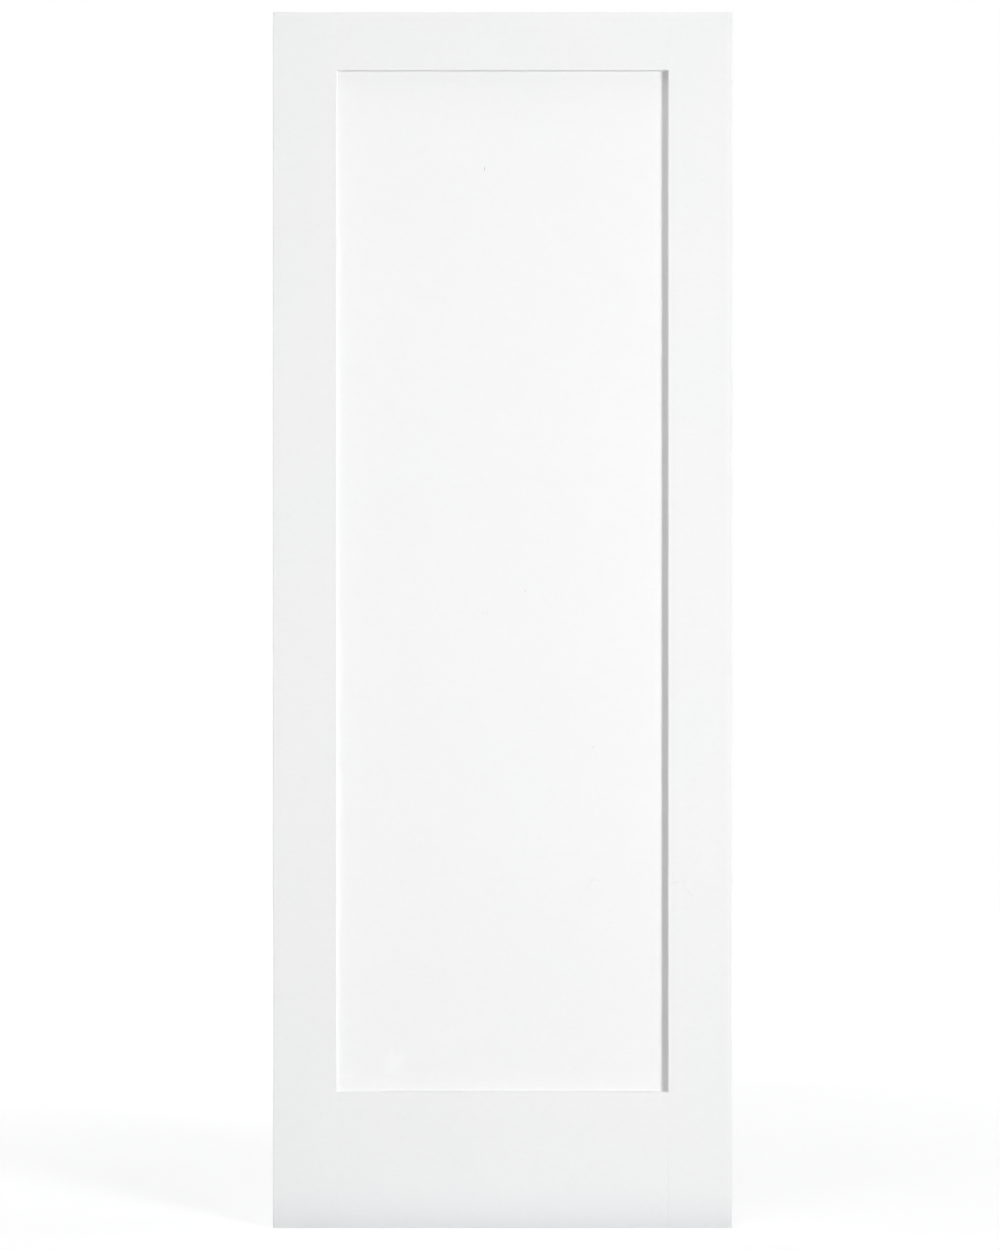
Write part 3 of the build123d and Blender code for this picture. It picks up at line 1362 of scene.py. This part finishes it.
@dataclass(frozen=True)
class Studio:
    """A plain white studio: a pale floor, soft lamps, and a white world behind all.

    The floor's lift is what is added to it for the camera, near the door and far off, where
    nothing but the lift is seen. The lamps stand for the photograph's: one large light from the
    right, with a beam and a wide spill, fill from the left and from above, the like behind the
    door, and one below, which lights the foot.
    """

    sizes: DoorSizes
    floor_size: float = 30.0
    floor_colour: Colour = (0.80, 0.80, 0.80)
    floor_grain: Pattern = Pattern.even(40 * MM)
    floor_roughness: float = 0.7
    floor_roughness_drift: float = 0.1
    foot_margin: float = 0.3 * MM
    lift_reach: Pair = (0.5, 5.0)
    lift: Pair = (0.43, 1.0)
    paint_reach: Pair = (2.0, 6.0)
    world_colour: Colour = (0.985, 0.99, 1.0)
    world_strength: float = 0.2
    white: Colour = (1.0, 1.0, 1.0)
    softboxes: tuple[Softbox, ...] = (
        Softbox("key_softbox", (6.042, -5.657, 1.20), (0.330, 0.0, 0.82), 2.10, 3.00, 20.8, 40.0),
        Softbox("key_spill", (6.042, -5.657, 1.20), (0.385, 0.0, 1.02), 2.10, 3.00, 218.0),
        Softbox("left_softbox", (-4.811, -3.000, 1.40), (0.385, 0.0, 1.02), 2.40, 2.40, 51.9),
        Softbox("top_softbox", (-0.600, -2.600, 5.00), (0.150, 0.0, 1.70), 2.40, 1.20, 32.3),
        Softbox("steep_softbox", (0.385, -0.900, 5.00), (0.385, 0.0, 1.00), 3.40, 1.00, 26.0),
        Softbox("rear_key_softbox", (-3.615, 6.928, 1.20), (0.470, 0.0, 0.97), 2.10, 3.00, 42.0, 50.0),
        Softbox("rear_side_softbox", (5.581, 3.000, 1.40), (0.385, 0.0, 1.02), 2.40, 2.40, 38.0),
        Softbox("rear_top_softbox", (0.385, 1.900, 5.10), (0.385, 0.0, 1.20), 3.40, 1.40, 31.0),
        Softbox("foot_softbox", (0.385, -0.400, -2.50), (0.385, 0.0, 0.00), 1.60, 1.20, 22.0),
    )

    def floor(self) -> None:
        """Lays the floor, which keeps the object's shadow but is white to the camera elsewhere. It
        is left out under the door, so that the door's foot has light when seen from below."""
        half_width = self.sizes.width / 2
        middle = Vector((half_width, 0.0, 0.0))
        mesh = bmesh.new()
        bmesh.ops.create_grid(mesh, x_segments=1, y_segments=1, size=self.floor_size / 2)
        bmesh.ops.translate(mesh, verts=mesh.verts, vec=middle)
        across = Vector((half_width - self.foot_margin, 0.0, 0.0))
        through = Vector((0.0, self.sizes.half_thickness - self.foot_margin, 0.0))
        for edge in (-across, across, -through, through):
            geometry = mesh.verts[:] + mesh.edges[:] + mesh.faces[:]
            bmesh.ops.bisect_plane(mesh, geom=geometry, plane_co=middle + edge, plane_no=edge.normalized())
        under = min(mesh.faces, key=lambda face: (face.calc_center_median() - middle).length)
        bmesh.ops.delete(mesh, geom=[under], context="FACES_ONLY")
        laid = placed("studio_floor", mesh)
        laid.data.materials.append(self.floor_paint(middle))
        log.info("studio_floor is laid")

    def floor_paint(self, middle: Vector) -> Material:
        """The floor's paint: pale, lifted to white for the camera, and clear from below. Near the
        door it is lifted less, so that the shadow stays. Far off the lift alone is seen, which
        makes it as white as the world behind it.

        Args:
            middle: Where the door stands.

        Returns:
            The material.
        """
        web = NodeWeb.of_new("floor_paint")
        seen = web.seen()
        distance = web.length(web.mapped(web.place, tuple(middle)))
        faded = web.math("MULTIPLY", seen, web.fade(distance, *self.paint_reach))
        grain = web.noise(self.floor_grain)
        fed = {
            "Base Color": web.scaled(self.floor_colour, web.math("SUBTRACT", 1.0, faded)),
            "Roughness": web.math("MULTIPLY_ADD", grain, self.floor_roughness_drift, self.floor_roughness),
            "Specular IOR Level": 0.0,
        }
        matt = web.add("BsdfPrincipled", fed).outputs[0]
        strength = web.math("MULTIPLY", seen, web.fade(distance, *self.lift_reach, *self.lift))
        lift = web.add("Emission", {"Color": self.white, "Strength": strength}).outputs[0]
        lit = web.add("AddShader", {0: matt, 1: lift}).outputs[0]
        below = web.add("NewGeometry").outputs["Backfacing"]
        clear = web.add("BsdfTransparent").outputs[0]
        paint = web.add("MixShader", {0: below, 1: lit, 2: clear}).outputs[0]
        return web.end("OutputMaterial", paint)

    def world(self) -> None:
        """Makes the world: soft light for the object, and white for the camera and in gloss."""
        web = NodeWeb(bpy.data.worlds.new("studio"))
        soft = web.add("Background", {"Color": self.world_colour, "Strength": self.world_strength})
        white = web.add("Background", {"Color": self.white, "Strength": 1.0})
        sky = web.add("MixShader", {0: web.seen(), 1: soft.outputs[0], 2: white.outputs[0]})
        bpy.context.scene.world = web.end("OutputWorld", sky.outputs[0])

    def build(self) -> None:
        """Builds the studio."""
        self.floor()
        self.world()
        for softbox in self.softboxes:
            softbox.hang()


@dataclass(frozen=True)
class Viewpoint:
    """The photograph's viewing angle: level, square to the door, and from some way off. The
    camera's place follows from where the door's four sides are in the photograph."""

    sizes: DoorSizes
    image_width_px: float = 1000.0
    image_height_px: float = 1250.0
    door_left_px: float = 272.85
    door_right_px: float = 732.35
    door_head_px: float = 12.93
    door_foot_px: float = 1227.6
    distance: float = 4.6
    sensor: float = 36.0

    def set_up(self) -> None:
        """Sets up the camera."""
        across = self.sizes.width / (self.door_right_px - self.door_left_px)
        up = self.sizes.height / (self.door_foot_px - self.door_head_px)
        scale = (across + up) / 2
        eye = bpy.data.cameras.new("photograph")
        eye.sensor_width = self.sensor
        eye.lens = self.sensor * self.distance / (scale * self.image_height_px)
        eye.dof.use_dof = False
        camera = bpy.data.objects.new("photograph", eye)
        camera.location = (
            (self.image_width_px / 2 - self.door_left_px) * across,
            -self.sizes.half_thickness - self.distance,
            (self.door_foot_px - self.image_height_px / 2) * up,
        )
        camera.rotation_euler = (math.pi / 2, 0.0, 0.0)
        bpy.context.scene.collection.objects.link(camera)
        bpy.context.scene.camera = camera
        log.info("camera is set up, lens %.1f mm", eye.lens)


def main() -> None:
    """Loads the frame, then builds, dresses and lights the door."""
    logging.basicConfig(level=logging.INFO, format="%(message)s")
    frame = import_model()
    sizes = DoorSizes.measured()
    Viewpoint(sizes).set_up()
    DoorSlab(CadNodes(frame["nodes"]), sizes, Finishes.mixed(sizes)).build()
    Studio(sizes).build()
    bpy.context.scene.view_settings.view_transform = "Standard"


if __name__ == "__main__":
    main()
